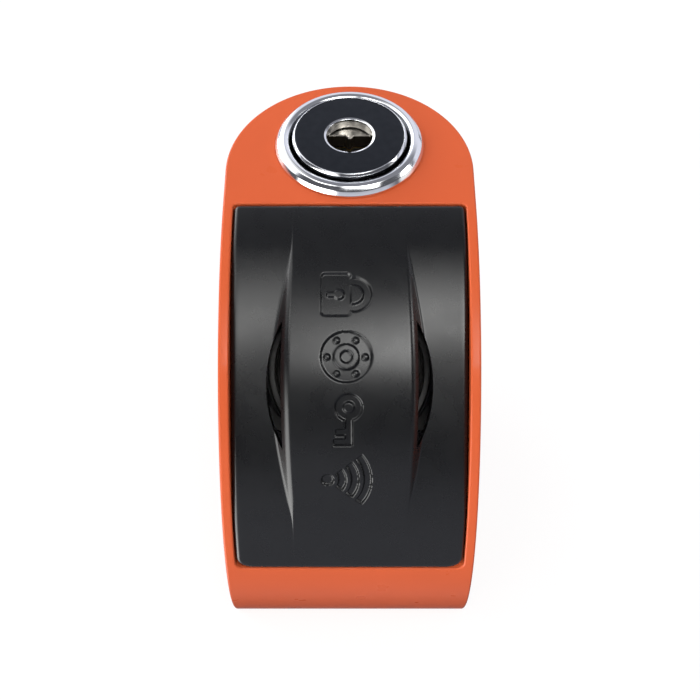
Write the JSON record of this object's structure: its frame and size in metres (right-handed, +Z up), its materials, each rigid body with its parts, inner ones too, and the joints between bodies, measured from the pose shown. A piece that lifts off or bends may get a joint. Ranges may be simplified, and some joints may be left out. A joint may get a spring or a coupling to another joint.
{
  "type": "disc brake lock",
  "caption": "C-shaped motorcycle disc lock with a push-down keyed cylinder that drives a steel pin across a disc slot, and an alarm siren behind a curved front cover.",
  "frame": {"origin": "centre of the footprint, on the flat underside", "axes": "+Z up along the locking pin and the cylinder, +Y towards the open mouth of the disc slot (the front cover faces -Y and up), +X across the body"},
  "size_m": [0.044, 0.0772, 0.0726],
  "materials": {
    "orange_paint": "gloss fluorescent orange powder coat",
    "black_satin": "satin black moulded",
    "chrome": "polished chrome plate",
    "dark_polished_steel": "black nickel, polished",
    "brushed_steel": "turned nickel silver",
    "hard_steel": "ground hardened steel",
    "brass": "turned",
    "bronze": "sintered bronze",
    "rubber": "black rubber",
    "black_plastic": "black moulded",
    "board_green": "green solder mask",
    "chip_black": "black package",
    "battery_wrap": "blue shrink wrap",
    "spring_steel": "bright spring wire",
    "copper": "enamelled copper",
    "red_wire": "red insulation",
    "black_wire": "black insulation"
  },
  "bodies": {
    "lock_body": {"alarm_chassis": "black_plastic", "battery_cell": "battery_wrap", "battery_plate_contact": "spring_steel", "battery_spring_contact": "spring_steel", "battery_wire_black": "black_wire", "battery_wire_red": "red_wire", "bezel_o_ring": "rubber", "bezel_ring": "chrome", "board_screw_1": "brushed_steel", "board_screw_2": "brushed_steel", "board_screw_3": "brushed_steel", "board_screw_4": "brushed_steel", "body_casting": "orange_paint", "boost_coil": "copper", "capacitor": "battery_wrap", "chassis_screw_left": "brushed_steel", "chassis_screw_right": "brushed_steel", "circuit_board": "board_green", "cover_gasket": "rubber", "front_cover": "black_satin", "guide_bush": "bronze", "jaw_bush": "hard_steel", "micro_switch": "chip_black", "microcontroller": "chip_black", "motion_sensor": "chip_black", "return_spring": "spring_steel", "siren_diaphragm": "brass", "siren_horn": "black_plastic", "siren_housing": "black_plastic", "siren_wire_black": "black_wire", "siren_wire_red": "red_wire", "stop_pin": "hard_steel"},
    "lock_cylinder": {"cylinder_shell": "chrome", "face_plate": "dark_polished_steel", "locking_pin": "hard_steel", "cross_pin": "hard_steel", "snap_ring": "spring_steel", "latch_spring": "spring_steel"},
    "plug": {"rotor_core": "brushed_steel", "tail_cam": "hard_steel", "detainer_disc_1": "brass", "detainer_disc_2": "brushed_steel", "detainer_disc_3": "brass", "detainer_disc_4": "brushed_steel", "detainer_disc_5": "brass", "detainer_disc_6": "brushed_steel", "detainer_disc_7": "brass", "disc_spacer_1": "brushed_steel", "disc_spacer_2": "brushed_steel", "disc_spacer_3": "brushed_steel", "disc_spacer_4": "brushed_steel", "disc_spacer_5": "brushed_steel", "disc_spacer_6": "brushed_steel"},
    "latch": {"latch_bolt": "hard_steel"},
    "switch_plunger": {"plunger_rod": "brass"}
  },
  "joints": [
    {"name": "cylinder_slide", "type": "slide", "parent": "lock_body", "child": "lock_cylinder", "axis": [0, 0, 1], "range_m": [0, 0.014], "deforming": ["return_spring"]},
    {"name": "plug_turn", "type": "hinge", "parent": "lock_cylinder", "child": "plug", "pos_m": [0, 0.0225, 0.06], "axis": [0, 0, -1], "range_deg": [0, 90]},
    {"name": "latch_slide", "type": "slide", "parent": "lock_cylinder", "child": "latch", "axis": [-1, 0, 0], "range_m": [0, 0.00215]},
    {"name": "plunger_slide", "type": "slide", "parent": "lock_body", "child": "switch_plunger", "axis": [0, 1, 0], "range_m": [0, 0.0014]}
  ],
  "couplings": [
    {"joint": "latch_slide", "follows": "plug_turn", "m_per_rad": 0.0013496},
    {"joint": "plunger_slide", "follows": "cylinder_slide", "ratio": 0.09545}
  ]
}
